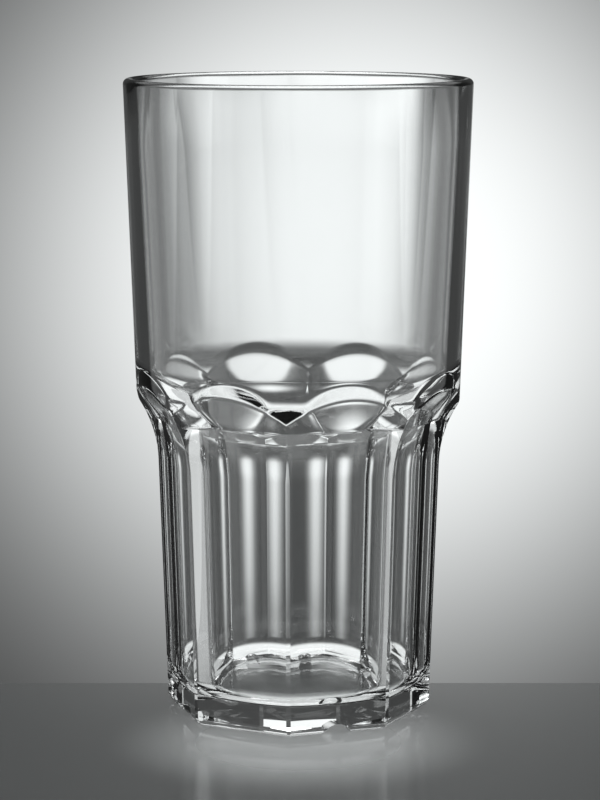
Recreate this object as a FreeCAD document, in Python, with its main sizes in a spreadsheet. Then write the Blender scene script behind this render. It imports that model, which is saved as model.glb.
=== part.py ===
import FreeCAD, Part
import math
import os
import Sketcher
from FreeCAD import Vector

# A clear moulded tumbler: a smooth tapered upper body, a scalloped shoulder, a lower
# body with flat facets, and a thick base with a recess and drain notches. The inside is
# a turned form with a ledge at the shoulder and a flat on the ledge for each facet.
# Millimetres and degrees. The cup stands on z = 0, and its axis is Z.

SIZES = {
    # outside
    "overall_height": 145.0,
    "rim_radius": 39.5,
    "lip_wall": 2.6,
    "upper_draft": 2.05,
    "facet_count": 8,
    "ridge_width": 1.0,
    "shoulder_step": 4.82,
    "lower_draft": 2.0,
    "flare_fall": 19.7,
    "facet_flare_lag": 0.8,
    "flare_radius": 26.5,
    "flare_slope": 30.0,
    "base_round": 2.5,
    "base_edge_lean": 70.0,
    # underside
    "recess_inset": 10.8,
    "recess_depth": 1.2,
    "recess_bevel": 1.5,
    "notch_count": 4,
    "notch_width": 6.8,
    "notch_rise": 2.3,
    # inside
    "floor_height": 6.0,
    "floor_round": 4.0,
    "cavity_inset": 5.9,
    "cavity_draft": 1.7,
    "shoulder_wall": 3.3,
    "ledge_height": 77.2,
    "ledge_slope": 37.6,
    "ledge_round": 13.0,
    "ledge_foot_round": 1.5,
    "facet_wall": 5.1,
    "flat_fall": 7.7,
}

# how far a cutting outline runs past the solid that it cuts
OVERRUN = 6.0

# the outer and inner radius of the upper wall at the height of the ledge
RIM_DROP = "(Sizes.overall_height - Sizes.lip_wall / 2 - Sizes.ledge_height)"
WALL_AT_LEDGE = "Sizes.rim_radius - %s * tan(Sizes.upper_draft * 1 deg)" % RIM_DROP
LEDGE_CORNER = WALL_AT_LEDGE + " - Sizes.shoulder_wall"

# the ridges' radius where they start to flare, and the sizes that follow it and the ledge
LOWER_RADIUS = "(%s - Sizes.shoulder_step)" % WALL_AT_LEDGE
FLARE_START = "(Sizes.ledge_height - Sizes.flare_fall)"
RECESS_RADIUS = LOWER_RADIUS + " - Sizes.recess_inset"
CAVITY_RADIUS = LOWER_RADIUS + " - Sizes.cavity_inset"
FLAT_FOOT = "Sizes.ledge_height - Sizes.flat_fall"

# a facet's distance from the axis where the ridge flare starts, and its draft, which
# keep the ridge beside it one width all the way down
HALF_FACET = "180 deg / Sizes.facet_count"
HALF_RIDGE = "Sizes.ridge_width / 2"
FACET_REACH = "cos(%s) * sqrt(%s ^ 2 - (%s) ^ 2) + sin(%s) * %s" % (
    HALF_FACET, LOWER_RADIUS, HALF_RIDGE, HALF_FACET, HALF_RIDGE)
FACET_DRAFT = "atan(cos(%s) * tan(Sizes.lower_draft * 1 deg))" % HALF_FACET

# the height of the base rounding's centre, which lets it meet the ground at a slope
ROUND_CENTRE = "Sizes.base_round * sin(Sizes.base_edge_lean * 1 deg)"

doc = FreeCAD.newDocument("tumbler_cup")


def make_sheet():
    sheet = doc.addObject("Spreadsheet::Sheet", "Sizes")
    for row, (alias, value) in enumerate(SIZES.items(), start=1):
        sheet.set("A%d" % row, alias.replace("_", " "))
        sheet.set("B%d" % row, str(value))
        sheet.setAlias("B%d" % row, alias)
    doc.recompute()


def origin_feature(body, role):
    return next(o for o in body.Origin.OriginFeatures if o.Role == role)


def number(holder, expression):
    """The plain value of an expression on the sheet, with angles in degrees."""
    value = holder.evalExpression(expression)
    return float(getattr(value, "Value", value))


class Outline:
    """A closed sketch outline of lines and arcs, joined end to end, with driving sizes."""

    def __init__(self, body, plane, name, pieces, smooth=()):
        self.sketch = body.newObject("Sketcher::SketchObject", name)
        self.sketch.AttachmentSupport = (origin_feature(body, plane), [""])
        self.sketch.MapMode = "FlatFace"
        self.pieces = pieces
        for piece in pieces:
            points = [Vector(x, y, 0) for x, y in piece]
            shape = Part.Arc(*points) if len(points) == 3 else Part.LineSegment(*points)
            self.sketch.addGeometry(shape, False)
        for i in range(len(pieces)):
            k = (i + 1) % len(pieces)
            kind = "Tangent" if i in smooth else "Coincident"
            self.fix(kind, *self.end(i), *self.start(k))

    def start(self, i):
        """An arc is stored anticlockwise, so a clockwise one starts at its end point."""
        if len(self.pieces[i]) == 3:
            (ax, ay), (bx, by), (cx, cy) = self.pieces[i]
            if (bx - ax) * (cy - ay) - (by - ay) * (cx - ax) < 0:
                return i, 2
        return i, 1

    def end(self, i):
        return i, 3 - self.start(i)[1]

    def centre(self, i):
        return i, 3

    def fix(self, kind, *references):
        return self.sketch.addConstraint(Sketcher.Constraint(kind, *references))

    def on_axis(self, point):
        self.fix("PointOnObject", *point, -2)

    def on_ground(self, point):
        self.fix("PointOnObject", *point, -1)

    def size(self, name, expression, kind, *references):
        value = number(self.sketch, expression)
        if kind == "Angle":
            value = math.radians(value)
        index = self.fix(kind, *references, value)
        self.sketch.renameConstraint(index, name)
        self.sketch.setExpression("Constraints." + name, expression)

    def reach(self, name, expression, point):
        self.size(name, expression, "DistanceX", -1, 1, *point)

    def rise(self, name, expression, point):
        self.size(name, expression, "DistanceY", -1, 1, *point)

    def lean(self, name, expression, line):
        """The angle of an upright line off the vertical, outwards and up."""
        self.size(name, "90 deg - (%s)" % expression, "Angle", line)

    def measure(self, name, kind, point):
        """A reference size that other outlines read."""
        index = self.fix(kind, -1, 1, *point, 1.0)
        self.sketch.setDriving(index, False)
        self.sketch.renameConstraint(index, name)


def along(point, length, lean):
    """The point that lies a length further up a line that leans off the vertical."""
    angle = math.radians(lean)
    return point[0] + length * math.sin(angle), point[1] + length * math.cos(angle)


def meet(low, low_lean, high, high_lean):
    """The point where two lines that lean off the vertical meet."""
    low_run = math.tan(math.radians(low_lean))
    high_run = math.tan(math.radians(high_lean))
    z = (high[0] - low[0] + low[1] * low_run - high[1] * high_run) / (low_run - high_run)
    return low[0] + (z - low[1]) * low_run, z


def bend(start, radius, lean_from, lean_to):
    """Three points of an arc that turns an upright line from one lean to another."""
    side = math.copysign(radius, lean_to - lean_from)
    angle = math.radians(lean_from)
    centre_x = start[0] + side * math.cos(angle)
    centre_y = start[1] - side * math.sin(angle)
    points = [start]
    for lean in ((lean_from + lean_to) / 2, lean_to):
        angle = math.radians(lean)
        points.append((centre_x - side * math.cos(angle), centre_y + side * math.sin(angle)))
    return points


def revolve(body, kind, name, outline):
    feature = body.newObject("PartDesign::" + kind, name)
    feature.Profile = outline.sketch
    feature.ReferenceAxis = (origin_feature(body, "Z_Axis"), [""])
    feature.Angle = 360
    return feature


def repeat(body, name, feature, count):
    """Copies of a feature in equal steps round the cup's axis."""
    pattern = body.newObject("PartDesign::PolarPattern", name)
    pattern.Originals = [feature]
    pattern.Axis = (origin_feature(body, "Z_Axis"), [""])
    pattern.Angle = 360
    pattern.setExpression("Occurrences", count)
    body.Tip = pattern
    return pattern


def side_cut(body, name, outline):
    """Cut an outline of the side view through the whole width of the body."""
    pocket = body.newObject("PartDesign::Pocket", name)
    pocket.Profile = outline.sketch
    pocket.SideType = "Symmetric"
    pocket.setExpression("Length", "2 * Sizes.rim_radius + %s" % OVERRUN)
    return pocket


def outer_outline(body):
    """Half of the outside: underside, foot ring, ridge, flare, upper wall and lip."""
    s = SIZES
    lip = s["lip_wall"] / 2
    lower_lean = s["lower_draft"]
    base_lean = math.tan(math.radians(lower_lean))
    lower_radius = number(body, LOWER_RADIUS)
    flare_start = number(body, FLARE_START)
    foot_reach = lower_radius - flare_start * base_lean
    recess = (number(body, RECESS_RADIUS), s["recess_depth"])
    ring = (recess[0] + s["recess_bevel"], 0)
    base_arc = bend((foot_reach - s["base_round"], 0), s["base_round"], s["base_edge_lean"],
                    lower_lean)
    flare_arc = bend((lower_radius, flare_start), s["flare_radius"], lower_lean,
                     s["flare_slope"])
    lip_arc = bend((s["rim_radius"], s["overall_height"] - lip), lip, s["upper_draft"], -90)
    crease = meet(flare_arc[2], s["flare_slope"], lip_arc[0], s["upper_draft"])
    axis_low = (0, s["recess_depth"])
    axis_high = (0, s["overall_height"])
    outline = Outline(body, "XZ_Plane", "OuterOutline", [
        (axis_low, recess), (recess, ring), (ring, base_arc[0]), base_arc,
        (base_arc[2], flare_arc[0]), flare_arc, (flare_arc[2], crease),
        (crease, lip_arc[0]), lip_arc, (lip_arc[2], axis_high), (axis_high, axis_low),
    ], smooth=(3, 4, 5, 7, 8))
    under, bevel, foot, base, ridge, flare, slope, wall, rim, top, axis = range(11)
    outline.fix("Horizontal", under)
    outline.fix("Horizontal", foot)
    outline.fix("Horizontal", top)
    outline.fix("Vertical", axis)
    outline.on_axis(outline.start(under))
    outline.on_ground(outline.end(bevel))
    outline.rise("recess_depth", "Sizes.recess_depth", outline.start(under))
    outline.reach("recess_radius", RECESS_RADIUS, outline.end(under))
    outline.reach("ring_radius", RECESS_RADIUS + " + Sizes.recess_bevel", outline.end(bevel))
    outline.size("base_round", "Sizes.base_round", "Radius", base)
    outline.rise("round_centre", ROUND_CENTRE, outline.centre(base))
    outline.reach("lower_radius", LOWER_RADIUS, outline.end(ridge))
    outline.rise("flare_start", FLARE_START, outline.end(ridge))
    outline.lean("lower_draft", "Sizes.lower_draft * 1 deg", ridge)
    outline.size("flare_radius", "Sizes.flare_radius", "Radius", flare)
    outline.lean("flare_slope", "Sizes.flare_slope * 1 deg", slope)
    outline.lean("upper_draft", "Sizes.upper_draft * 1 deg", wall)
    outline.size("lip_radius", "Sizes.lip_wall / 2", "Radius", rim)
    outline.reach("lip_centre", "Sizes.rim_radius - Sizes.lip_wall / 2", outline.centre(rim))
    outline.rise("overall_height", "Sizes.overall_height", outline.end(rim))
    return outline


def facet_outline(body):
    """Side view of what a facet takes off: base rounding, flat, flare and slope."""
    s = SIZES
    reach = number(body, FACET_REACH)
    lean = number(body, FACET_DRAFT)
    flare_start = number(body, FLARE_START)
    start = along((reach, flare_start), s["facet_flare_lag"], lean)
    foot_reach = reach - flare_start * math.tan(math.radians(lean))
    low = number(body, ROUND_CENTRE) - s["base_round"]
    base_arc = bend((foot_reach - s["base_round"], low), s["base_round"], 90, lean)
    flare_arc = bend(start, s["flare_radius"], lean, s["flare_slope"])
    clear = s["rim_radius"] + OVERRUN
    slope_run = (clear - flare_arc[2][0]) / math.sin(math.radians(s["flare_slope"]))
    far_high = along(flare_arc[2], slope_run, s["flare_slope"])
    far_low = (clear, -OVERRUN)
    near_low = (base_arc[0][0], -OVERRUN)
    outline = Outline(body, "XZ_Plane", "FacetOutline", [
        (near_low, base_arc[0]), base_arc, (base_arc[2], start), flare_arc,
        (flare_arc[2], far_high), (far_high, far_low), (far_low, near_low),
    ], smooth=(1, 2, 3))
    near, base, flat, flare, slope, far, bottom = range(7)
    outline.fix("Vertical", near)
    outline.fix("Vertical", far)
    outline.fix("Horizontal", bottom)
    outline.fix("Vertical", *outline.start(base), *outline.centre(base))
    outline.size("base_round", "Sizes.base_round", "Radius", base)
    outline.rise("round_centre", ROUND_CENTRE, outline.centre(base))
    outline.lean("facet_draft", FACET_DRAFT, flat)
    outline.reach("facet_reach", "%s + Sizes.facet_flare_lag * tan(%s)"
                  % (FACET_REACH, FACET_DRAFT), outline.end(flat))
    outline.rise("flare_start", FLARE_START + " + Sizes.facet_flare_lag", outline.end(flat))
    outline.size("flare_radius", "Sizes.flare_radius", "Radius", flare)
    outline.lean("flare_slope", "Sizes.flare_slope * 1 deg", slope)
    outline.reach("clear", "Sizes.rim_radius + %s" % OVERRUN, outline.start(far))
    outline.rise("below", "-%s" % OVERRUN, outline.start(near))
    outline.measure("slope_reach", "DistanceX", outline.start(slope))
    outline.measure("slope_height", "DistanceY", outline.start(slope))
    return outline


def notch_outline(body):
    """End view of a drain notch in the foot ring, on a plane at the recess wall."""
    s = SIZES
    half = s["notch_width"] / 2
    outline = Outline(body, "YZ_Plane", "NotchOutline", [
        ((half, 0), (0, s["notch_rise"]), (-half, 0)), ((-half, 0), (-half, -OVERRUN)),
        ((-half, -OVERRUN), (half, -OVERRUN)), ((half, -OVERRUN), (half, 0)),
    ])
    arch, left, bottom, right = range(4)
    outline.sketch.setExpression("AttachmentOffset.Base.z", RECESS_RADIUS)
    outline.fix("Vertical", left)
    outline.fix("Horizontal", bottom)
    outline.fix("Vertical", right)
    outline.fix("Symmetric", *outline.start(arch), *outline.end(arch), -2)
    outline.on_ground(outline.start(arch))
    outline.size("notch_width", "Sizes.notch_width", "DistanceX",
                 *outline.end(arch), *outline.start(arch))
    outline.size("arch_radius", "(Sizes.notch_width ^ 2 / 4 + Sizes.notch_rise ^ 2)"
                 " / (2 * Sizes.notch_rise)", "Radius", arch)
    outline.rise("below", "-%s" % OVERRUN, outline.start(bottom))
    return outline


def make_outside():
    body = doc.addObject("PartDesign::Body", "Outside")
    turned = revolve(body, "Revolution", "TurnedOutside", outer_outline(body))
    doc.recompute()
    facet = side_cut(body, "Facet", facet_outline(body))
    facets = repeat(body, "Facets", facet, "Sizes.facet_count")
    doc.recompute()
    notch = body.newObject("PartDesign::Pocket", "Notch")
    notch.Profile = notch_outline(body).sketch
    notch.Reversed = True
    notch.setExpression("Length", "Sizes.rim_radius")
    notches = repeat(body, "Notches", notch, "Sizes.notch_count")
    doc.recompute()
    check_cut(turned, facets)
    check_cut(facets, notches)
    return body


def cavity_outline(body):
    """Half of the form that hollows the cup: floor, lower wall, ledge, upper wall, lip."""
    s = SIZES
    lip = s["lip_wall"] / 2
    corner = (number(body, LEDGE_CORNER), s["ledge_height"])
    lip_low = (s["rim_radius"] - s["lip_wall"], s["overall_height"] - lip)
    upper_lean = math.degrees(math.atan2(lip_low[0] - corner[0], lip_low[1] - corner[1]))
    set_back = s["ledge_round"] * math.tan(math.radians((s["ledge_slope"] - upper_lean) / 2))
    cavity_radius = number(body, CAVITY_RADIUS)
    floor_arc = bend((cavity_radius - s["floor_round"], s["floor_height"]), s["floor_round"],
                     90, s["cavity_draft"])
    ledge_arc = bend(along(corner, -set_back, s["ledge_slope"]), s["ledge_round"],
                     s["ledge_slope"], upper_lean)
    fall = (ledge_arc[0][0] - cavity_radius) / math.sin(math.radians(s["ledge_slope"]))
    foot_arc = bend(along(ledge_arc[0], -fall, s["ledge_slope"]), s["ledge_foot_round"],
                    s["cavity_draft"], s["ledge_slope"])
    lip_arc = bend(lip_low, lip, upper_lean, 90)
    axis_low = (0, s["floor_height"])
    over_rim = (lip_arc[2][0], s["overall_height"] + OVERRUN)
    axis_high = (0, s["overall_height"] + OVERRUN)
    outline = Outline(body, "XZ_Plane", "CavityOutline", [
        (axis_low, floor_arc[0]), floor_arc, (floor_arc[2], foot_arc[0]), foot_arc,
        (foot_arc[2], ledge_arc[0]), ledge_arc, (ledge_arc[2], lip_arc[0]), lip_arc,
        (lip_arc[2], over_rim), (over_rim, axis_high), (axis_high, axis_low),
    ], smooth=(0, 1, 2, 3, 4, 5, 6))
    floor, floor_turn, lower, foot, ledge, shoulder, upper, rim, rise, top, axis = range(11)
    outline.fix("Horizontal", floor)
    outline.fix("Vertical", rise)
    outline.fix("Horizontal", top)
    outline.fix("Vertical", axis)
    outline.on_axis(outline.start(floor))
    outline.rise("floor_height", "Sizes.floor_height", outline.start(floor))
    outline.size("floor_round", "Sizes.floor_round", "Radius", floor_turn)
    outline.reach("cavity_radius", CAVITY_RADIUS, outline.start(lower))
    outline.lean("cavity_draft", "Sizes.cavity_draft * 1 deg", lower)
    outline.size("ledge_foot_round", "Sizes.ledge_foot_round", "Radius", foot)
    outline.lean("ledge_slope", "Sizes.ledge_slope * 1 deg", ledge)
    outline.size("ledge_round", "Sizes.ledge_round", "Radius", shoulder)
    mark = outline.sketch.addGeometry(Part.Point(Vector(*corner, 0)), True)
    outline.fix("PointOnObject", mark, 1, ledge)
    outline.fix("PointOnObject", mark, 1, upper)
    outline.reach("ledge_corner", LEDGE_CORNER, (mark, 1))
    outline.rise("ledge_height", "Sizes.ledge_height", (mark, 1))
    outline.size("lip_radius", "Sizes.lip_wall / 2", "Radius", rim)
    outline.reach("lip_centre", "Sizes.rim_radius - Sizes.lip_wall / 2", outline.centre(rim))
    outline.rise("lip_height", "Sizes.overall_height - Sizes.lip_wall / 2", outline.centre(rim))
    outline.fix("Vertical", *outline.centre(rim), *outline.end(rim))
    outline.rise("above", "Sizes.overall_height + %s" % OVERRUN, outline.start(top))
    return outline


def ledge_flat_outline(body):
    """Side view of what a flat takes off the form, parallel to the facet's slope outside."""
    s = SIZES
    slope_end = (number(doc.FacetOutline, "Constraints.slope_reach") - s["facet_wall"],
                 number(doc.FacetOutline, "Constraints.slope_height"))
    clear = s["rim_radius"] + OVERRUN
    slope = math.radians(s["flare_slope"])
    foot = number(body, FLAT_FOOT)
    low = along(slope_end, (foot - slope_end[1]) / math.cos(slope), s["flare_slope"])
    high = along(slope_end, (clear - slope_end[0]) / math.sin(slope), s["flare_slope"])
    corner = (clear, foot)
    outline = Outline(body, "XZ_Plane", "LedgeFlatOutline", [
        (low, high), (high, corner), (corner, low),
    ])
    flat, far, bottom = range(3)
    outline.fix("Vertical", far)
    outline.fix("Horizontal", bottom)
    mark = outline.sketch.addGeometry(Part.Point(Vector(*slope_end, 0)), True)
    outline.fix("PointOnObject", mark, 1, flat)
    outline.reach("wall_reach", "FacetOutline.Constraints.slope_reach - Sizes.facet_wall * 1 mm",
                  (mark, 1))
    outline.rise("wall_height", "FacetOutline.Constraints.slope_height", (mark, 1))
    outline.lean("flare_slope", "Sizes.flare_slope * 1 deg", flat)
    outline.rise("flat_foot", FLAT_FOOT, outline.end(bottom))
    outline.reach("clear", "Sizes.rim_radius + %s" % OVERRUN, outline.start(far))
    return outline


def make_cavity_form():
    body = doc.addObject("PartDesign::Body", "CavityForm")
    turned = revolve(body, "Revolution", "TurnedForm", cavity_outline(body))
    doc.recompute()
    flat = side_cut(body, "LedgeFlat", ledge_flat_outline(body))
    flats = repeat(body, "LedgeFlats", flat, "Sizes.facet_count")
    doc.recompute()
    check_cut(turned, flats)
    return body


def check_cut(before, after):
    if not after.Shape.Volume < before.Shape.Volume - 1.0:
        raise RuntimeError("%s cuts nothing" % after.Name)


def check_document(part):
    for item in doc.Objects:
        if "Invalid" in item.State or "Error" in item.State:
            raise RuntimeError("%s has not come out right" % item.Name)
    if part.Shape.isNull() or not part.Shape.isValid() or len(part.Shape.Solids) != 1:
        raise RuntimeError("the cup is not one sound solid")


make_sheet()
outside = make_outside()
cavity_form = make_cavity_form()
tumbler = doc.addObject("Part::Cut", "Tumbler")
tumbler.Base = outside
tumbler.Tool = cavity_form
tumbler.Label = "tumbler"
tumbler.Placement = FreeCAD.Placement()
doc.recompute()
check_document(tumbler)

os.makedirs("parts", exist_ok=True)
tumbler.Shape.exportStep("parts/%s.step" % tumbler.Label)
print("volume %.0f cubic mm" % tumbler.Shape.Volume, tumbler.Shape.BoundBox)
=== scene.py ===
import math

import bmesh
import bpy
from bpy.props import FloatProperty, FloatVectorProperty, IntProperty, PointerProperty
from mathutils import Matrix, Vector


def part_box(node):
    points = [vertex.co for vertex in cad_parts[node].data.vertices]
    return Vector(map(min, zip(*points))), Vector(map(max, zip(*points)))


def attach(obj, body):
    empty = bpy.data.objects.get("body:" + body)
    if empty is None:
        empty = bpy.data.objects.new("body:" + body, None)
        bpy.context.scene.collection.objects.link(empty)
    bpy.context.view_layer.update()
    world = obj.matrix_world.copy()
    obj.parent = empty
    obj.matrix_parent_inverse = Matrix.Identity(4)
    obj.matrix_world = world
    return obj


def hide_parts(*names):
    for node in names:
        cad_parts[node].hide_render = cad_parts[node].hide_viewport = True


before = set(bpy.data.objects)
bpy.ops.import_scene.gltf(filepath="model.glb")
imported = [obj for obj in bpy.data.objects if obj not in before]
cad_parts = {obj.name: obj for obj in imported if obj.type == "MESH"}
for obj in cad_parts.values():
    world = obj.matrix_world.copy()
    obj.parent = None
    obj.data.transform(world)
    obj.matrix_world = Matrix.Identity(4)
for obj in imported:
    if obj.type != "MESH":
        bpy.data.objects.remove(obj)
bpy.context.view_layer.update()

bl_info = {
    "name": "Clear Plastic Tumbler",
    "version": (1, 0, 0),
    "blender": (4, 5, 0),
    "location": "View3D > Sidebar > Tumbler",
    "description": "Dresses the packed tumbler as clear moulded plastic on a studio table",
    "category": "Object",
}

# A clear moulded tumbler. Its outside is a smooth tapered body over a faceted one, and its
# inside is a turned form with a flat behind each facet's slope. Facets and flats are centred
# on the X and Y axes and on the lines halfway between them.

CUP_LOW, CUP_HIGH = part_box("tumbler")


class TUMBLER_PG_outside(bpy.types.PropertyGroup):
    """Sizes of the cup's outside."""

    overall_height: FloatProperty(
        name="Overall height", description="Height from the table to the top of the lip",
        default=CUP_HIGH.z - CUP_LOW.z, unit="LENGTH", precision=5)
    rim_radius: FloatProperty(
        name="Rim radius", description="Outer radius at the lip",
        default=(CUP_HIGH.x - CUP_LOW.x) / 2, unit="LENGTH", precision=5)
    lip_wall: FloatProperty(
        name="Lip wall", description="Thickness of the rounded lip",
        default=0.0026, unit="LENGTH", precision=5)
    upper_draft: FloatProperty(
        name="Upper draft", description="Lean of the upper wall off the vertical",
        default=math.radians(2.05), unit="ROTATION")
    facet_count: IntProperty(
        name="Facets", description="Number of facets round the lower body", default=8, min=4)
    ridge_width: FloatProperty(
        name="Ridge width", description="Width of the strip between two facets",
        default=0.0010, unit="LENGTH", precision=5)
    shoulder_step: FloatProperty(
        name="Shoulder step", description="How far the ridges stand in from the upper wall",
        default=0.00482, unit="LENGTH", precision=5)
    lower_draft: FloatProperty(
        name="Lower draft", description="Lean of the ridges off the vertical",
        default=math.radians(2.0), unit="ROTATION")
    flare_fall: FloatProperty(
        name="Flare fall", description="How far below the inner ledge the ridges start to flare",
        default=0.0197, unit="LENGTH", precision=5)
    facet_flare_lag: FloatProperty(
        name="Facet flare lag", description="How much higher the facets start to flare",
        default=0.0008, unit="LENGTH", precision=5)
    flare_radius: FloatProperty(
        name="Flare radius", description="Radius of the flares under the shoulder",
        default=0.0265, unit="LENGTH", precision=5)
    flare_slope: FloatProperty(
        name="Flare slope", description="Lean of the straight slope that ends each flare",
        default=math.radians(30.0), unit="ROTATION")
    crease_round: FloatProperty(
        name="Crease round", description="Softness of the scalloped edge at the shoulder",
        default=0.0004, unit="LENGTH", precision=5)
    base_round: FloatProperty(
        name="Base round", description="Radius of the rounded edge of the base",
        default=0.0025, unit="LENGTH", precision=5)
    base_edge_lean: FloatProperty(
        name="Base edge lean", description="Lean at which the rounded edge meets the table",
        default=math.radians(70.0), unit="ROTATION")
    recess_inset: FloatProperty(
        name="Recess inset", description="How far the recess lies inside the ridges",
        default=0.0108, unit="LENGTH", precision=5)
    recess_depth: FloatProperty(
        name="Recess depth", description="Depth of the recess under the base",
        default=0.0012, unit="LENGTH", precision=5)
    recess_bevel: FloatProperty(
        name="Recess bevel", description="Width of the sloping wall of the recess",
        default=0.0015, unit="LENGTH", precision=5)
    notch_count: IntProperty(
        name="Notches", description="Number of drain notches through the foot ring", default=4)
    notch_width: FloatProperty(
        name="Notch width", description="Width of a drain notch at the table",
        default=0.0068, unit="LENGTH", precision=5)
    notch_rise: FloatProperty(
        name="Notch rise", description="Height of a drain notch at its middle",
        default=0.0023, unit="LENGTH", precision=5)


class TUMBLER_PG_inside(bpy.types.PropertyGroup):
    """Sizes of the cup's inside."""

    floor_height: FloatProperty(
        name="Floor height", description="Thickness of the base under the floor",
        default=0.0060, unit="LENGTH", precision=5)
    floor_round: FloatProperty(
        name="Floor round", description="Radius where the floor meets the wall",
        default=0.0040, unit="LENGTH", precision=5)
    cavity_inset: FloatProperty(
        name="Cavity inset", description="How far the cavity's foot lies inside the ridges",
        default=0.0059, unit="LENGTH", precision=5)
    cavity_draft: FloatProperty(
        name="Cavity draft", description="Lean of the lower wall inside",
        default=math.radians(1.7), unit="ROTATION")
    shoulder_wall: FloatProperty(
        name="Shoulder wall", description="Thickness of the upper wall at the ledge",
        default=0.0033, unit="LENGTH", precision=5)
    ledge_height: FloatProperty(
        name="Ledge height", description="Height at which the ledge's line meets the upper wall's",
        default=0.0772, unit="LENGTH", precision=5)
    ledge_slope: FloatProperty(
        name="Ledge slope", description="Lean of the ledge off the vertical",
        default=math.radians(37.6), unit="ROTATION")
    ledge_round: FloatProperty(
        name="Ledge round", description="Radius between the ledge and the upper wall",
        default=0.0130, unit="LENGTH", precision=5)
    ledge_foot_round: FloatProperty(
        name="Ledge foot round", description="Radius between the lower wall and the ledge",
        default=0.0015, unit="LENGTH", precision=5)
    facet_wall: FloatProperty(
        name="Facet wall", description="Distance of a flat from the slope outside, level",
        default=0.0051, unit="LENGTH", precision=5)
    flat_fall: FloatProperty(
        name="Flat fall", description="How far below the ledge's corner the flats may reach",
        default=0.0077, unit="LENGTH", precision=5)
    flat_round: FloatProperty(
        name="Flat round", description="Softness of the edge round each flat",
        default=0.00025, unit="LENGTH", precision=5)


class TUMBLER_PG_finish(bpy.types.PropertyGroup):
    """Finish of the plastic."""

    tint: FloatVectorProperty(
        name="Tint", description="Colour of the clear plastic",
        default=(0.985, 0.992, 0.992), subtype="COLOR", min=0.0, max=1.0)
    refraction: FloatProperty(
        name="Refractive index", description="How strongly the plastic bends light", default=1.585)
    least_roughness: FloatProperty(
        name="Least roughness", description="Roughness where the polish is best", default=0.0)
    most_roughness: FloatProperty(
        name="Most roughness", description="Roughness where the polish is worn", default=0.025)
    polish_scale: FloatProperty(
        name="Polish scale", description="How fine the patches of worn polish are", default=60.0)
    wear_start: FloatProperty(
        name="Wear start", description="Noise value at which the polish starts to wear", default=0.5)
    wear_end: FloatProperty(
        name="Wear end", description="Noise value at which the polish is fully worn", default=0.8)
    wave_length: FloatProperty(
        name="Wave length", description="Size of the faint waves left by moulding",
        default=0.018, unit="LENGTH", precision=4)
    wave_height: FloatProperty(
        name="Wave height", description="Depth of the faint waves left by moulding",
        default=0.00001, unit="LENGTH", precision=6)


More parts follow.
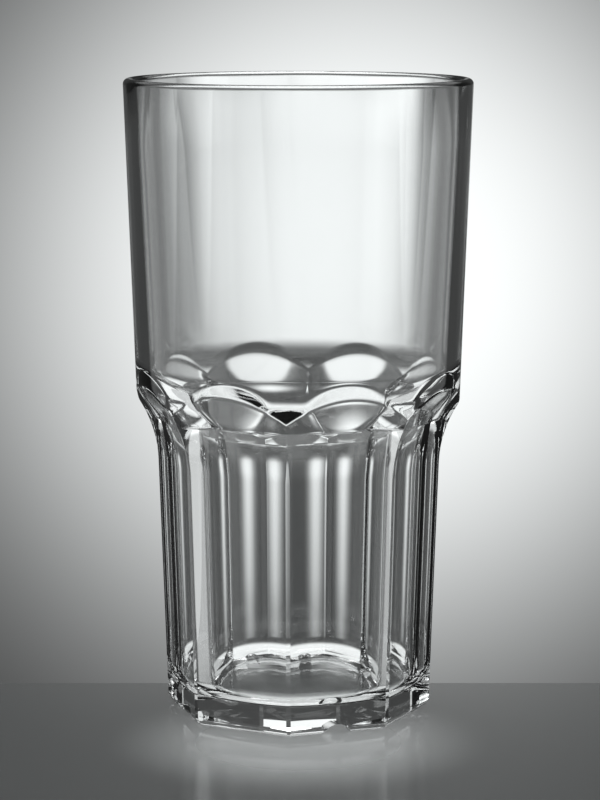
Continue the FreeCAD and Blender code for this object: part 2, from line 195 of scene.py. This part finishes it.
class TUMBLER_PG_stage(bpy.types.PropertyGroup):
    """The table, the studio light, the lamp and the camera."""

    view_azimuth: FloatProperty(
        name="View azimuth", description="Azimuth that the camera looks from",
        default=math.radians(-18.4), unit="ROTATION")
    view_pitch: FloatProperty(
        name="View pitch", description="How far the camera looks down",
        default=math.radians(8.88), unit="ROTATION")
    view_distance: FloatProperty(
        name="View distance", description="Level distance of the camera from the cup's axis",
        default=0.645, unit="LENGTH")
    view_height: FloatProperty(
        name="View height", description="Height of the camera over the table",
        default=0.1723, unit="LENGTH")
    view_offset: FloatProperty(
        name="View offset", description="Sideways place of the camera",
        default=0.00039, unit="LENGTH", precision=5)
    lens: FloatProperty(name="Lens", description="Focal length in millimetres", default=128.16)
    sensor_width: FloatProperty(
        name="Sensor width", description="Width of the film in millimetres", default=36.0)
    table_reach: FloatProperty(
        name="Table reach", description="How far the table runs towards the camera from the axis",
        default=1.2, unit="LENGTH")
    table_half_width: FloatProperty(
        name="Table half width", description="How far the table runs to each side of the axis",
        default=1.0, unit="LENGTH")
    table_depth: FloatProperty(
        name="Table depth", description="How far the table runs behind the cup's axis",
        default=0.019, unit="LENGTH")
    table_colour: FloatVectorProperty(
        name="Table colour", description="Colour of the table",
        default=(0.12, 0.125, 0.125), subtype="COLOR", min=0.0, max=1.0)
    table_gloss: FloatProperty(
        name="Table gloss", description="Refractive index that sets the table's reflections",
        default=2.8)
    table_cover: FloatProperty(
        name="Table cover", description="Share of the light that the smoked table holds back",
        default=0.5)
    table_roughness: FloatProperty(
        name="Table roughness", description="How soft the table's reflections are", default=0.13)
    # the four settings below place and colour painted light: a lighter patch painted on the table for
    # the light that the cup throws there
    painted_light_place: FloatProperty(
        name="Patch place", description="How far in front of the axis the table is lightest",
        default=0.032, unit="LENGTH")
    painted_light_start: FloatProperty(
        name="Patch start", description="Radius up to which the table is lightest",
        default=0.012, unit="LENGTH")
    painted_light_end: FloatProperty(
        name="Patch end", description="Radius at which the light that the cup throws ends",
        default=0.044, unit="LENGTH")
    painted_light_colour: FloatVectorProperty(
        name="Patch colour", description="Colour of the table where the cup throws light on it",
        default=(0.85, 0.87, 0.87), subtype="COLOR", min=0.0, max=1.0)
    glow_azimuth: FloatProperty(
        name="Glow azimuth", description="Sideways place of the glow in the backdrop",
        default=math.radians(1.17), unit="ROTATION")
    glow_pitch: FloatProperty(
        name="Glow pitch", description="Elevation of the glow in the backdrop",
        default=math.radians(-6.38), unit="ROTATION")
    glow_width: FloatProperty(
        name="Glow width", description="How far out the glow falls to about a third",
        default=math.radians(7.1), unit="ROTATION")
    glow_edge: FloatProperty(
        name="Glow edge", description="Power by which the glow falls off, sharper when higher",
        default=2.6)
    glow_strength: FloatProperty(
        name="Glow strength", description="Brightness of the glow", default=1.05)
    light_tint: FloatVectorProperty(
        name="Light tint", description="Faint cool cast of all the studio light",
        default=(0.98, 1.004, 1.002), subtype="COLOR", min=0.0, max=2.0)
    gloom: FloatProperty(
        name="Gloom", description="Brightness of the backdrop away from the glow", default=0.051)
    over_light: FloatProperty(
        name="Light from over", description="Brightness of the light from over the cup", default=0.75)
    over_start: FloatProperty(
        name="Over start", description="Elevation at which the light from over starts",
        default=math.radians(18.0), unit="ROTATION")
    over_end: FloatProperty(
        name="Over end", description="Elevation at which the light from over is full",
        default=math.radians(28.0), unit="ROTATION")
    under_light: FloatProperty(
        name="Light from under", description="Brightness of the light from under the table's level",
        default=1.0)
    under_start: FloatProperty(
        name="Under start", description="Elevation at which the light from under starts",
        default=math.radians(-25.0), unit="ROTATION")
    under_end: FloatProperty(
        name="Under end", description="Elevation at which the light from under is full",
        default=math.radians(-34.0), unit="ROTATION")
    front_light: FloatProperty(
        name="Light from the front", description="Brightness of the light behind the camera",
        default=0.15)
    halo_light: FloatProperty(
        name="Halo", description="Brightness of the wide soft halo beside the glow", default=0.03)
    halo_near: FloatProperty(
        name="Halo near", description="Azimuth off the view at which the halo starts",
        default=math.radians(11.0), unit="ROTATION")
    halo_far: FloatProperty(
        name="Halo far", description="Azimuth off the view at which the halo ends",
        default=math.radians(24.0), unit="ROTATION")
    halo_lowest: FloatProperty(
        name="Halo lowest", description="Lowest elevation of the halo",
        default=math.radians(-7.0), unit="ROTATION")
    side_light: FloatProperty(
        name="Side light", description="Brightness of the two lights far out beside the glow",
        default=0.6)
    side_near: FloatProperty(
        name="Side near", description="Azimuth off the view at which the side lights start",
        default=math.radians(54.0), unit="ROTATION")
    side_far: FloatProperty(
        name="Side far", description="Azimuth off the view at which the side lights end",
        default=math.radians(80.0), unit="ROTATION")
    side_lowest: FloatProperty(
        name="Side lowest", description="Lowest elevation of the side lights",
        default=math.radians(-18.0), unit="ROTATION")
    side_softness: FloatProperty(
        name="Side softness", description="Angle over which the halo and side lights fade",
        default=math.radians(5.0), unit="ROTATION")
    lamp_power: FloatProperty(
        name="Lamp power", description="Power of the soft lamp over the cup", default=3.0,
        unit="POWER")
    lamp_width: FloatProperty(
        name="Lamp width", description="Width of the square lamp", default=0.6, unit="LENGTH")
    lamp_behind: FloatProperty(
        name="Lamp behind", description="How far behind the cup's axis the lamp hangs",
        default=0.2, unit="LENGTH")
    lamp_height: FloatProperty(
        name="Lamp height", description="Height of the lamp over the table",
        default=1.0, unit="LENGTH")


def smooth_min(a, b, blend):
    """The lesser of two lengths, with the corner between them rounded."""
    near = max(blend - abs(a - b), 0.0) / blend
    return min(a, b) - near * near * blend / 4


# steps that find the crease, and the widest share of a facet's half angle that is flat
CREASE_STEPS = 40
WIDEST_FLAT = 0.996


class Section:
    """The cup's outline at any azimuth, counted from the middle of the nearest facet."""

    def __init__(self, outside, inside):
        self.outside = outside
        self.inside = inside
        self.half_facet = math.pi / outside.facet_count
        self.lip = outside.lip_wall / 2
        self.lip_height = outside.overall_height - self.lip
        self.lip_reach = outside.rim_radius - self.lip
        self.shoulder_reach = self.upper(inside.ledge_height)
        self.lower_radius = self.shoulder_reach - outside.shoulder_step
        self.flare_start = inside.ledge_height - outside.flare_fall
        half_ridge = outside.ridge_width / 2
        ridge_reach = math.sqrt(self.lower_radius ** 2 - half_ridge ** 2)
        self.facet_reach = (math.cos(self.half_facet) * ridge_reach
                            + math.sin(self.half_facet) * half_ridge)
        self.facet_draft = math.atan(math.cos(self.half_facet) * math.tan(outside.lower_draft))
        self.round_centre = outside.base_round * math.sin(outside.base_edge_lean)
        self.creases = {}
        self.set_out_inside()

    def upper(self, z):
        """Reach of the smooth upper wall outside."""
        return self.outside.rim_radius - (self.lip_height - z) * math.tan(self.outside.upper_draft)

    def flared(self, rise, draft):
        """How far a lower wall has leant out at a height above the start of its flare."""
        if rise <= 0:
            return rise * math.tan(draft)
        radius = self.outside.flare_radius
        slope = self.outside.flare_slope
        curved = min(rise, radius * (math.sin(slope) - math.sin(draft)))
        lean = math.asin(curved / radius + math.sin(draft))
        return radius * (math.cos(draft) - math.cos(lean)) + (rise - curved) * math.tan(slope)

    def foot(self, z, wall, draft):
        """A lower wall with the rounded edge of the base taken off."""
        radius = self.outside.base_round
        join = self.round_centre - radius * math.sin(draft)
        if z >= join:
            return wall(z)
        centre = wall(join) - radius * math.cos(draft)
        return centre + math.sqrt(max(radius ** 2 - (self.round_centre - z) ** 2, 0.0))

    def ridge_wall(self, z):
        return self.lower_radius + self.flared(z - self.flare_start, self.outside.lower_draft)

    def facet_wall(self, z):
        lag = self.outside.facet_flare_lag
        rise = z - self.flare_start - lag
        return self.facet_reach + lag * math.tan(self.facet_draft) + self.flared(rise, self.facet_draft)

    def ridge(self, z):
        return self.foot(z, self.ridge_wall, self.outside.lower_draft)

    def facet(self, z):
        return self.foot(z, self.facet_wall, self.facet_draft)

    def lower(self, z, azimuth):
        """Reach of the lower body outside, on a facet or on a ridge."""
        return min(self.facet(z) / math.cos(azimuth), self.ridge(z))

    def outer(self, z, azimuth):
        return smooth_min(self.upper(z), self.lower(z, azimuth), self.outside.crease_round)

    def crease(self, azimuth):
        """Height of the scalloped edge where the lower body meets the upper wall."""
        key = round(azimuth, 9)
        if key not in self.creases:
            low = self.flare_start
            high = self.lip_height
            for _ in range(CREASE_STEPS):
                middle = (low + high) / 2
                if self.lower(middle, azimuth) < self.upper(middle):
                    low = middle
                else:
                    high = middle
            self.creases[key] = low
        return self.creases[key]

    def ridge_edge(self, z):
        """Azimuth at which a facet gives way to the ridge beside it."""
        share = self.facet(z) / self.ridge(z)
        return min(math.acos(min(share, 1.0)), self.half_facet * WIDEST_FLAT)

    def set_out_inside(self):
        """Find the lines and arcs of the turned inside."""
        inside = self.inside
        corner_reach = self.shoulder_reach - inside.shoulder_wall
        across = self.lip_reach - corner_reach
        up = self.lip_height - inside.ledge_height
        self.upper_lean = math.atan2(across, up) - math.asin(self.lip / math.hypot(across, up))
        self.corner = (corner_reach, inside.ledge_height)
        self.cavity_radius = self.lower_radius - inside.cavity_inset
        self.cavity_foot = (self.cavity_radius, inside.floor_height + inside.floor_round
                            * (1 - math.sin(inside.cavity_draft)))
        foot_run = math.tan(inside.cavity_draft)
        ledge_run = math.tan(inside.ledge_slope)
        meet = ((self.cavity_foot[0] - corner_reach + inside.ledge_height * ledge_run
                 - self.cavity_foot[1] * foot_run) / (ledge_run - foot_run))
        self.ledge_foot = (self.ledge_line(meet), meet)
        flare_rise = self.outside.flare_radius * (
            math.sin(self.outside.flare_slope) - math.sin(self.facet_draft))
        self.slope_start = self.flare_start + self.outside.facet_flare_lag + flare_rise

    def ledge_line(self, z):
        return self.corner[0] + (z - self.corner[1]) * math.tan(self.inside.ledge_slope)

    def upper_line(self, z):
        return self.corner[0] + (z - self.corner[1]) * math.tan(self.upper_lean)

    def cavity_line(self, z):
        return self.cavity_foot[0] + (z - self.cavity_foot[1]) * math.tan(self.inside.cavity_draft)

    def turned(self, z):
        """Reach of the turned inside: lower wall, ledge, round corner and upper wall."""
        inside = self.inside
        slope = inside.ledge_slope
        set_back = inside.ledge_round * math.tan((slope - self.upper_lean) / 2)
        high_end = self.corner[1] + set_back * math.cos(self.upper_lean)
        low_end = self.corner[1] - set_back * math.cos(slope)
        if z >= high_end:
            return self.upper_line(z)
        if z > low_end:
            centre_reach = self.ledge_line(low_end) - inside.ledge_round * math.cos(slope)
            centre_height = low_end + inside.ledge_round * math.sin(slope)
            return centre_reach + math.sqrt(inside.ledge_round ** 2 - (centre_height - z) ** 2)
        turn = inside.ledge_foot_round * math.tan((slope - inside.cavity_draft) / 2)
        foot_high = self.ledge_foot[1] + turn * math.cos(slope)
        foot_low = self.ledge_foot[1] - turn * math.cos(inside.cavity_draft)
        if z >= foot_high:
            return self.ledge_line(z)
        if z > foot_low:
            radius = inside.ledge_foot_round
            centre_reach = self.cavity_line(foot_low) + radius * math.cos(inside.cavity_draft)
            centre_height = foot_low - radius * math.sin(inside.cavity_draft)
            return centre_reach - math.sqrt(radius ** 2 - (z - centre_height) ** 2)
        return self.cavity_line(z)

    def inner(self, z, azimuth):
        """Reach of the inside, with the flat behind each facet's slope."""
        reach = self.turned(z)
        if z < self.corner[1] - self.inside.flat_fall:
            return reach
        slope_reach = self.facet_wall(self.slope_start)
        flat = slope_reach - self.inside.facet_wall + (z - self.slope_start) * math.tan(
            self.outside.flare_slope)
        return smooth_min(reach, flat / math.cos(azimuth), self.inside.flat_round)


def spread(low, high, count):
    """Evenly spaced values from low to high, both included."""
    return [low + (high - low) * i / (count - 1) for i in range(count)]


def fixed(reach, height):
    """A ring that is a plain circle."""
    return lambda azimuth: (reach, height)


def on_outside(section, height):
    """A level ring on the outside."""
    return lambda azimuth: (section.outer(height, azimuth), height)


def up_to_crease(section, share, gap):
    """A ring a share of the way from the start of the flare to just under the crease."""
    def place(azimuth):
        top = section.crease(azimuth) - gap
        height = section.flare_start + (top - section.flare_start) * share
        return section.outer(height, azimuth), height
    return place


def by_crease(section, gap):
    """A ring that follows the scalloped crease at a gap over it."""
    def place(azimuth):
        height = section.crease(azimuth) + gap
        return section.outer(height, azimuth), height
    return place


def on_inside(section, height):
    """A level ring on the inside."""
    return lambda azimuth: (section.inner(height, azimuth), height)


STRAIGHT_RINGS = 5
FLARE_RINGS = 26
BASE_RINGS = 8
UPPER_RINGS = 6
LIP_RINGS = 14
LEDGE_RINGS = 104
WALL_RINGS = 5
FLOOR_RINGS = 12

# rings beside the crease, and the gap kept clear for them, in shares of its softness
CREASE_GAPS = (-1.0, -1 / 3, 1 / 3, 1.0)
CREASE_MARGIN = 2.5

# how far the fine rings reach over the ledge, as a share of the ledge's rounding
LEDGE_TOP_SHARE = 0.7


def outside_rings(section):
    """The rings from the middle of the underside to the foot of the lip."""
    outside = section.outside
    recess = section.lower_radius - outside.recess_inset
    rings = [fixed(0.0, outside.recess_depth), fixed(recess, outside.recess_depth),
             fixed(recess + outside.recess_bevel, 0.0)]
    for lean in spread(outside.base_edge_lean, 0.0, BASE_RINGS):
        rings.append(on_outside(section, section.round_centre - outside.base_round * math.sin(lean)))
    for height in spread(section.round_centre, section.flare_start, STRAIGHT_RINGS)[1:]:
        rings.append(on_outside(section, height))
    margin = outside.crease_round * CREASE_MARGIN
    for share in spread(0.0, 1.0, FLARE_RINGS)[1:]:
        rings.append(up_to_crease(section, share, margin))
    for gap in CREASE_GAPS:
        rings.append(by_crease(section, outside.crease_round * gap))
    rings.append(by_crease(section, margin))
    above = section.crease(0.0) + outside.lip_wall
    for height in spread(above, section.lip_height, UPPER_RINGS):
        rings.append(on_outside(section, height))
    return rings


def inside_rings(section):
    """The rings from over the lip down to the middle of the floor."""
    inside = section.inside
    rings = []
    for turn in spread(0.0, math.pi, LIP_RINGS)[1:]:
        rings.append(fixed(section.lip_reach + section.lip * math.cos(turn),
                           section.lip_height + section.lip * math.sin(turn)))
    ledge_top = inside.ledge_height + inside.ledge_round * LEDGE_TOP_SHARE
    ledge_low = section.ledge_foot[1] - inside.ledge_foot_round
    for height in spread(section.lip_height, ledge_top, UPPER_RINGS)[1:-1]:
        rings.append(on_inside(section, height))
    for height in spread(ledge_top, ledge_low, LEDGE_RINGS):
        rings.append(on_inside(section, height))
    for height in spread(ledge_low, section.cavity_foot[1], WALL_RINGS)[1:]:
        rings.append(on_inside(section, height))
    centre_reach = section.cavity_radius - inside.floor_round * math.cos(inside.cavity_draft)
    centre_height = inside.floor_height + inside.floor_round
    for lean in spread(inside.cavity_draft, math.pi / 2, FLOOR_RINGS)[1:]:
        rings.append(fixed(centre_reach + inside.floor_round * math.cos(lean),
                           centre_height - inside.floor_round * math.sin(lean)))
    rings.append(fixed(0.0, inside.floor_height))
    return rings


COLUMNS_PER_FACET = 40
NOTCH_SEGMENTS = 72

# points nearer than this are one point
MERGE_GAP = 1e-6


def spin_cup(section):
    """Spin the outline round the axis, then move each ring to its own azimuth's section."""
    rings = outside_rings(section)
    lip_ring = len(rings)
    rings += inside_rings(section)
    facets = section.outside.facet_count
    columns = COLUMNS_PER_FACET * facets
    bm = bmesh.new()
    ring_layer = bm.verts.layers.int.new("ring")
    verts = []
    for index, place in enumerate(rings):
        reach, height = place(0.0)
        vert = bm.verts.new((reach, 0.0, height))
        vert[ring_layer] = index
        verts.append(vert)
    edges = [bm.edges.new(pair) for pair in zip(verts, verts[1:])]
    bmesh.ops.spin(bm, geom=verts + edges, cent=(0, 0, 0), axis=(0, 0, 1), dvec=(0, 0, 0),
                   angle=math.tau, steps=columns, use_merge=True)
    bmesh.ops.remove_doubles(bm, verts=bm.verts, dist=MERGE_GAP)
    edge_azimuths = []
    for place in rings[:lip_ring]:
        edge_azimuths.append(section.ridge_edge(place(section.half_facet)[1]))
    half = COLUMNS_PER_FACET // 2
    for vert in bm.verts:
        index = vert[ring_layer]
        if math.hypot(vert.co.x, vert.co.y) < MERGE_GAP:
            continue
        column = round(math.atan2(vert.co.y, vert.co.x) / math.tau * columns)
        facet = round(column / COLUMNS_PER_FACET)
        step = column - facet * COLUMNS_PER_FACET
        last = edge_azimuths[index] if index < lip_ring else section.half_facet * (half - 1) / half
        if abs(step) == half:
            azimuth = math.copysign(section.half_facet, step)
        else:
            azimuth = last * step / (half - 1)
        reach, height = rings[index](azimuth)
        turn = facet * 2 * section.half_facet + azimuth
        vert.co = (reach * math.cos(turn), reach * math.sin(turn), height)
    bmesh.ops.recalc_face_normals(bm, faces=bm.faces)
    return bm


def notch_cutters(section):
    """Round bars that cut the arched drain notches through the foot ring."""
    outside = section.outside
    radius = (outside.notch_width ** 2 / 4 + outside.notch_rise ** 2) / (2 * outside.notch_rise)
    start = section.lower_radius - outside.recess_inset
    length = outside.rim_radius - start
    bm = bmesh.new()
    for index in range(outside.notch_count):
        place = (Matrix.Rotation(index * math.tau / outside.notch_count, 4, "Z")
                 @ Matrix.Translation((start + length / 2, 0, outside.notch_rise - radius))
                 @ Matrix.Rotation(math.pi / 2, 4, "Y"))
        bmesh.ops.create_cone(bm, cap_ends=True, segments=NOTCH_SEGMENTS, radius1=radius,
                              radius2=radius, depth=length, matrix=place)
    bmesh.ops.recalc_face_normals(bm, faces=bm.faces)
    return bm


def to_object(bm, name):
    """A new object in the scene that takes the mesh over."""
    mesh = bpy.data.meshes.new(name)
    bm.to_mesh(mesh)
    bm.free()
    piece = bpy.data.objects.new(name, mesh)
    bpy.context.scene.collection.objects.link(piece)
    return piece


def cut_notches(cup, section):
    """Cut the notches and keep the cut mesh as the cup's own."""
    cutter = to_object(notch_cutters(section), "notch_bars")
    modifier = cup.modifiers.new("Notches", "BOOLEAN")
    modifier.operation = "DIFFERENCE"
    modifier.solver = "EXACT"
    modifier.object = cutter
    graph = bpy.context.evaluated_depsgraph_get()
    mesh = bpy.data.meshes.new_from_object(cup.evaluated_get(graph))
    cup.modifiers.clear()
    cup.data = mesh
    mesh.name = "tumbler_cup"
    bpy.data.objects.remove(cutter)


SHARP_ANGLE = math.radians(14.0)


def shade(cup, section):
    """Smooth shading, with crisp edges on the ridges, base and notches."""
    bm = bmesh.new()
    bm.from_mesh(cup.data)
    for face in bm.faces:
        face.smooth = True
    facet_top = section.crease(0.0)
    for edge in bm.edges:
        if len(edge.link_faces) != 2:
            continue
        middle = (edge.verts[0].co + edge.verts[1].co) / 2
        reach = math.hypot(middle.x, middle.y)
        outside = middle.z < facet_top and reach > section.inner(middle.z, 0.0) + section.lip
        if middle.z < section.inside.floor_height or outside:
            edge.smooth = edge.calc_face_angle(0.0) < SHARP_ANGLE
    bm.to_mesh(cup.data)
    bm.free()


def socket_values(node, **values):
    """Set a node's inputs by name, with an underscore for each space."""
    for name, value in values.items():
        node.inputs[name.replace("_", " ")].default_value = value


def plastic(finish):
    """Clear polished plastic with faint moulding waves and a polish that varies a little."""
    material = bpy.data.materials.new("clear plastic")
    material.use_nodes = True
    tree = material.node_tree
    shader = tree.nodes["Principled BSDF"]
    socket_values(shader, Base_Color=(*finish.tint, 1.0), Transmission_Weight=1.0,
                  IOR=finish.refraction)
    place = tree.nodes.new("ShaderNodeTexCoord")
    polish = tree.nodes.new("ShaderNodeTexNoise")
    socket_values(polish, Scale=finish.polish_scale, Detail=3.0, Roughness=0.55)
    share = tree.nodes.new("ShaderNodeMapRange")
    share.interpolation_type = "SMOOTHSTEP"
    socket_values(share, From_Min=finish.wear_start, From_Max=finish.wear_end,
                  To_Min=finish.least_roughness, To_Max=finish.most_roughness)
    waves = tree.nodes.new("ShaderNodeTexNoise")
    socket_values(waves, Scale=1.0 / finish.wave_length, Detail=1.0, Roughness=0.4)
    bump = tree.nodes.new("ShaderNodeBump")
    socket_values(bump, Strength=1.0, Distance=finish.wave_height)
    link = tree.links.new
    link(place.outputs["Object"], polish.inputs["Vector"])
    link(polish.outputs["Fac"], share.inputs["Value"])
    link(share.outputs["Result"], shader.inputs["Roughness"])
    link(place.outputs["Object"], waves.inputs["Vector"])
    link(waves.outputs["Fac"], bump.inputs["Height"])
    link(bump.outputs["Normal"], shader.inputs["Normal"])
    return material


class TUMBLER_OT_cup(bpy.types.Operator):
    """Model the cup as one moulding and give it its plastic."""

    bl_idname = "tumbler.cup"
    bl_label = "Build the cup"

    def execute(self, context):
        scene = context.scene
        section = Section(scene.tumbler_outside, scene.tumbler_inside)
        cup = to_object(spin_cup(section), "tumbler_cup")
        cut_notches(cup, section)
        shade(cup, section)
        cup.data.materials.clear()
        cup.data.materials.append(plastic(scene.tumbler_finish))
        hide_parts("tumbler")
        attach(cup, "root")
        return {"FINISHED"}


def turned_to_view(stage, x, y, z):
    """A place given across, along and above the camera's line, in the cup's own frame."""
    return Matrix.Rotation(stage.view_azimuth, 3, "Z") @ Vector((x, y, z))


def maths(tree, operation, first, second=None):
    """A node that does one sum on sockets or plain numbers, and its result."""
    node = tree.nodes.new("ShaderNodeMath")
    node.operation = operation
    for socket, value in zip(node.inputs, (first, second)):
        if isinstance(value, (int, float)):
            socket.default_value = value
        elif value is not None:
            tree.links.new(value, socket)
    return node.outputs["Value"]


def ramp(tree, value, start, end, low, high):
    """A soft step from one brightness to another as a value goes from start to end."""
    node = tree.nodes.new("ShaderNodeMapRange")
    node.interpolation_type = "SMOOTHSTEP"
    socket_values(node, From_Min=start, From_Max=end, To_Min=low, To_Max=high)
    tree.links.new(value, node.inputs["Value"])
    return node.outputs["Result"]


def along(tree, direction, x, y, z):
    """How far a direction points along a line given in the cup's own frame."""
    node = tree.nodes.new("ShaderNodeVectorMath")
    node.operation = "DOT_PRODUCT"
    node.inputs[1].default_value = (x, y, z)
    tree.links.new(direction, node.inputs[0])
    return node.outputs["Value"]


# the table lies this much under the cup, so that no two surfaces share a plane
TABLE_GAP = 0.0001


def painted_thrown_light(stage, tree, shader):
    """A soft lighter patch that stands for the light that the cup throws on the table."""
    place = tree.nodes.new("ShaderNodeTexCoord").outputs["Object"]
    gap = tree.nodes.new("ShaderNodeVectorMath")
    gap.operation = "DISTANCE"
    gap.inputs[1].default_value = turned_to_view(stage, 0.0, -stage.painted_light_place, 0.0)
    tree.links.new(place, gap.inputs[0])
    # painted light: the table's colour turns to the lighter patch colour near the patch's middle
    share = ramp(tree, gap.outputs["Value"], stage.painted_light_start, stage.painted_light_end, 1.0, 0.0)
    blend = tree.nodes.new("ShaderNodeMix")
    blend.data_type = "RGBA"
    tree.links.new(share, blend.inputs["Factor"])
    blend.inputs["A"].default_value = (*stage.table_colour, 1.0)
    blend.inputs["B"].default_value = (*stage.painted_light_colour, 1.0)
    tree.links.new(blend.outputs["Result"], shader.inputs["Base Color"])


def table(stage):
    """A glossy table top of smoked glass that ends behind the cup's axis, with a patch of light painted
    into its colour in front of the cup.
    """
    bm = bmesh.new()
    bmesh.ops.create_grid(bm, x_segments=1, y_segments=1, size=0.5)
    for vert in bm.verts:
        x = math.copysign(stage.table_half_width, vert.co.x)
        y = stage.table_depth if vert.co.y > 0 else -stage.table_reach
        vert.co = turned_to_view(stage, x, y, -TABLE_GAP)
    piece = to_object(bm, "table")
    material = bpy.data.materials.new("glossy table")
    material.use_nodes = True
    tree = material.node_tree
    shader = tree.nodes["Principled BSDF"]
    socket_values(shader, Roughness=stage.table_roughness, IOR=stage.table_gloss,
                  Alpha=stage.table_cover)
    painted_thrown_light(stage, tree, shader)
    piece.data.materials.append(material)


def glow(stage, tree, direction):
    """A round white glow that is flat in its middle and soft at its edge."""
    aim = turned_to_view(stage, math.sin(stage.glow_azimuth) * math.cos(stage.glow_pitch),
                         math.cos(stage.glow_azimuth) * math.cos(stage.glow_pitch),
                         math.sin(stage.glow_pitch))
    share = maths(tree, "DIVIDE", maths(tree, "ARCCOSINE", along(tree, direction, *aim)),
                  stage.glow_width)
    drop = maths(tree, "POWER", share, stage.glow_edge)
    fall = maths(tree, "EXPONENT", maths(tree, "MULTIPLY", drop, -1.0))
    return maths(tree, "MULTIPLY", fall, stage.glow_strength)


def beside(stage, tree, aside, height, near, far, lowest, brightness):
    """Light on both sides of the view, between two azimuths and above an elevation."""
    soft = stage.side_softness
    light = ramp(tree, aside, math.sin(near - soft), math.sin(near), 0.0, brightness)
    light = maths(tree, "MULTIPLY", light,
                  ramp(tree, aside, math.sin(far), math.sin(far + soft), 1.0, 0.0))
    return maths(tree, "MULTIPLY", light,
                 ramp(tree, height, math.sin(lowest - soft), math.sin(lowest), 0.0, 1.0))


def backdrop(stage):
    """A soft white glow behind the cup, grey round it, and soft light on its other sides."""
    world = bpy.data.worlds.new("studio")
    bpy.context.scene.world = world
    world.use_nodes = True
    tree = world.node_tree
    tree.nodes.clear()
    link = tree.links.new
    direction = tree.nodes.new("ShaderNodeTexCoord").outputs["Generated"]
    split = tree.nodes.new("ShaderNodeSeparateXYZ")
    link(direction, split.inputs[0])
    height = split.outputs["Z"]
    facing = along(tree, direction, *turned_to_view(stage, 0.0, -1.0, 0.0))
    aside = maths(tree, "ABSOLUTE", along(tree, direction, *turned_to_view(stage, 1.0, 0.0, 0.0)))
    total = maths(tree, "ADD", glow(stage, tree, direction), stage.gloom)
    for light in (
        ramp(tree, height, math.sin(stage.over_start), math.sin(stage.over_end), 0.0,
             stage.over_light),
        ramp(tree, height, math.sin(stage.under_start), math.sin(stage.under_end), 0.0,
             stage.under_light),
        ramp(tree, facing, 0.0, 1.0, 0.0, stage.front_light),
        beside(stage, tree, aside, height, stage.halo_near, stage.halo_far, stage.halo_lowest,
               stage.halo_light),
        beside(stage, tree, aside, height, stage.side_near, stage.side_far, stage.side_lowest,
               stage.side_light),
    ):
        total = maths(tree, "ADD", total, light)
    background = tree.nodes.new("ShaderNodeBackground")
    output = tree.nodes.new("ShaderNodeOutputWorld")
    background.inputs["Color"].default_value = (*stage.light_tint, 1.0)
    link(total, background.inputs["Strength"])
    link(background.outputs["Background"], output.inputs["Surface"])


def soft_lamp(stage):
    """A square lamp over the cup, aimed at its middle."""
    light = bpy.data.lights.new("overhead lamp", "AREA")
    light.size = stage.lamp_width
    light.energy = stage.lamp_power
    lamp = bpy.data.objects.new("overhead lamp", light)
    bpy.context.scene.collection.objects.link(lamp)
    lamp.location = turned_to_view(stage, 0.0, stage.lamp_behind, stage.lamp_height)
    middle = (CUP_LOW + CUP_HIGH) / 2
    lamp.rotation_euler = (middle - lamp.location).to_track_quat("-Z", "Y").to_euler()


def camera(stage):
    """A long lens in front of the cup that looks down on it a little."""
    lens = bpy.data.cameras.new("camera")
    lens.lens = stage.lens
    lens.sensor_width = stage.sensor_width
    view = bpy.data.objects.new("camera", lens)
    bpy.context.scene.collection.objects.link(view)
    view.location = turned_to_view(stage, stage.view_offset, -stage.view_distance, stage.view_height)
    aim = turned_to_view(stage, 0.0, math.cos(stage.view_pitch), -math.sin(stage.view_pitch))
    view.rotation_euler = aim.to_track_quat("-Z", "Y").to_euler()
    bpy.context.scene.camera = view


class TUMBLER_OT_stage(bpy.types.Operator):
    """Set the table, the studio light, the lamp and the camera."""

    bl_idname = "tumbler.stage"
    bl_label = "Set the stage"

    def execute(self, context):
        stage = context.scene.tumbler_stage
        context.scene.view_settings.view_transform = "Standard"
        table(stage)
        backdrop(stage)
        soft_lamp(stage)
        camera(stage)
        return {"FINISHED"}


class TUMBLER_PT_panel(bpy.types.Panel):
    """The tumbler's sizes, finish and stage, and the buttons that build them."""

    bl_label = "Tumbler"
    bl_idname = "TUMBLER_PT_panel"
    bl_space_type = "VIEW_3D"
    bl_region_type = "UI"
    bl_category = "Tumbler"

    def draw(self, context):
        layout = self.layout
        for group in GROUPS:
            settings = getattr(context.scene, group)
            box = layout.box()
            for name in settings.bl_rna.properties.keys():
                if name not in ("rna_type", "name"):
                    box.prop(settings, name)
        for operator in OPERATORS:
            layout.operator(operator.bl_idname)


GROUPS = {
    "tumbler_outside": TUMBLER_PG_outside,
    "tumbler_inside": TUMBLER_PG_inside,
    "tumbler_finish": TUMBLER_PG_finish,
    "tumbler_stage": TUMBLER_PG_stage,
}
OPERATORS = (TUMBLER_OT_cup, TUMBLER_OT_stage)
CLASSES = (*GROUPS.values(), *OPERATORS, TUMBLER_PT_panel)


def register():
    for entry in CLASSES:
        bpy.utils.register_class(entry)
    for name, group in GROUPS.items():
        setattr(bpy.types.Scene, name, PointerProperty(type=group))


def unregister():
    for name in GROUPS:
        delattr(bpy.types.Scene, name)
    for entry in reversed(CLASSES):
        bpy.utils.unregister_class(entry)


def main():
    register()
    bpy.ops.tumbler.cup()
    bpy.ops.tumbler.stage()


if __name__ == "__main__":
    main()
